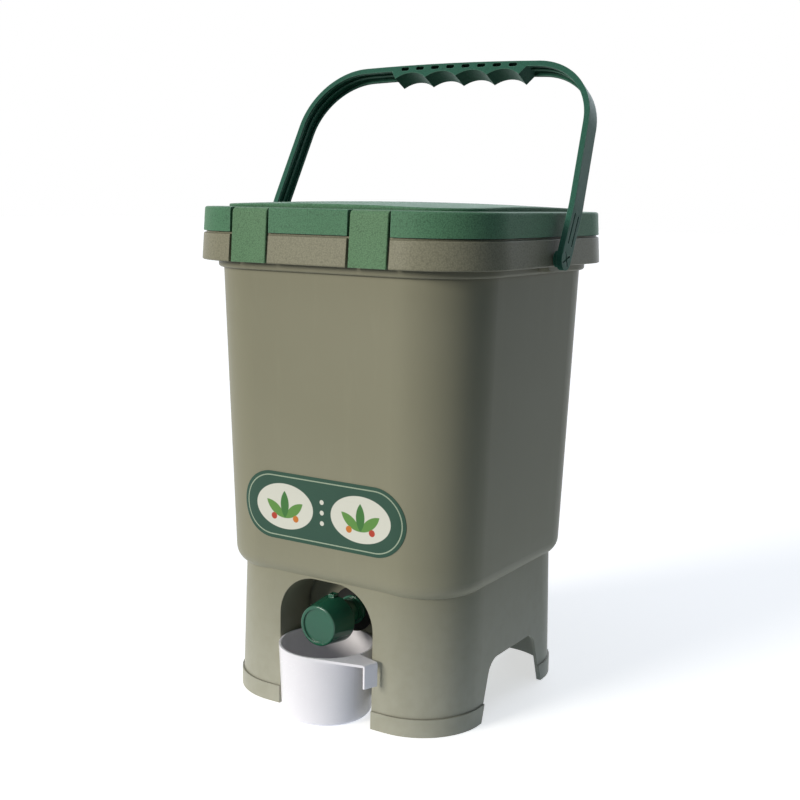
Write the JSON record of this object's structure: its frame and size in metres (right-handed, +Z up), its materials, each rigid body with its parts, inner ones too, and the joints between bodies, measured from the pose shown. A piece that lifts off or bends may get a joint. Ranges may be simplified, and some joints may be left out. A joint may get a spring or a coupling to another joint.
{
  "type": "bokashi bin",
  "caption": "Square tapering kitchen composting bin with latched lid, swinging carry bail, drain tap in an arched front niche and a liquid cup standing under it.",
  "frame": {"origin": "middle of the footprint, on the floor", "axes": "+Z up, the tap and label face -Y, the bail turns about the X direction"},
  "size_m": [0.2728, 0.2596, 0.4932],
  "materials": {
    "tub_plastic": "satin moulded polypropylene",
    "lid_plastic": "fine-grained moulded polypropylene",
    "bail_plastic": "satin moulded polypropylene",
    "tap_plastic": "glossy moulded ABS",
    "cup_plastic": "glossy white polypropylene",
    "plate_plastic": "moulded polypropylene",
    "seal_rubber": "soft black rubber",
    "pin_steel": "plain steel wire",
    "label_film": "printed film sticker"
  },
  "bodies": {
    "tub": {"tub": "tub_plastic", "front_label": "label_film", "tap_body": "tap_plastic", "tap_oring": "seal_rubber", "tap_outer_washer": "seal_rubber", "tap_inner_washer": "seal_rubber", "tap_nut": "tap_plastic", "tap_strainer": "tap_plastic"},
    "lid": {"lid": "lid_plastic", "lid_seal": "seal_rubber", "latch_pin_front_left": "pin_steel", "latch_pin_front_right": "pin_steel", "latch_pin_rear_left": "pin_steel", "latch_pin_rear_right": "pin_steel"},
    "bail": {"bail_handle": "bail_plastic"},
    "tap_knob": {"tap_knob": "tap_plastic"},
    "cup": {"cup": "cup_plastic"},
    "drain_plate": {"drain_plate": "plate_plastic"},
    "latch_front_left": {"latch_front_left": "lid_plastic"},
    "latch_front_right": {"latch_front_right": "lid_plastic"},
    "latch_rear_left": {"latch_rear_left": "lid_plastic"},
    "latch_rear_right": {"latch_rear_right": "lid_plastic"}
  },
  "joints": [
    {"name": "bail_swing", "type": "hinge", "parent": "tub", "child": "bail", "pos_m": [0, 0, 0.346], "axis": [1, 0, 0], "range_deg": [-97, 143]},
    {"name": "lid_lift", "type": "slide", "parent": "tub", "child": "lid", "axis": [0, 0, 1], "range_m": [0, 0.055]},
    {"name": "tap_turn", "type": "hinge", "parent": "tub", "child": "tap_knob", "pos_m": [0, -0.1, 0.0742], "axis": [0, 1, 0], "range_deg": [0, 180]},
    {"name": "cup_pull_out", "type": "slide", "parent": "tub", "child": "cup", "axis": [0, -1, 0], "range_m": [0, 0.12]},
    {"name": "drain_plate_lift", "type": "slide", "parent": "tub", "child": "drain_plate", "axis": [0, 0, 1], "range_m": [0, 0.15]},
    {"name": "latch_front_left_open", "type": "hinge", "parent": "lid", "child": "latch_front_left", "pos_m": [-0.0532, -0.12159, 0.3753], "axis": [-1, 0, 0], "range_deg": [0, 115]},
    {"name": "latch_front_right_open", "type": "hinge", "parent": "lid", "child": "latch_front_right", "pos_m": [0.0488, -0.12159, 0.3753], "axis": [-1, 0, 0], "range_deg": [0, 115]},
    {"name": "latch_rear_left_open", "type": "hinge", "parent": "lid", "child": "latch_rear_left", "pos_m": [-0.0488, 0.12159, 0.3753], "axis": [1, 0, 0], "range_deg": [0, 115]},
    {"name": "latch_rear_right_open", "type": "hinge", "parent": "lid", "child": "latch_rear_right", "pos_m": [0.0532, 0.12159, 0.3753], "axis": [1, 0, 0], "range_deg": [0, 115]}
  ]
}
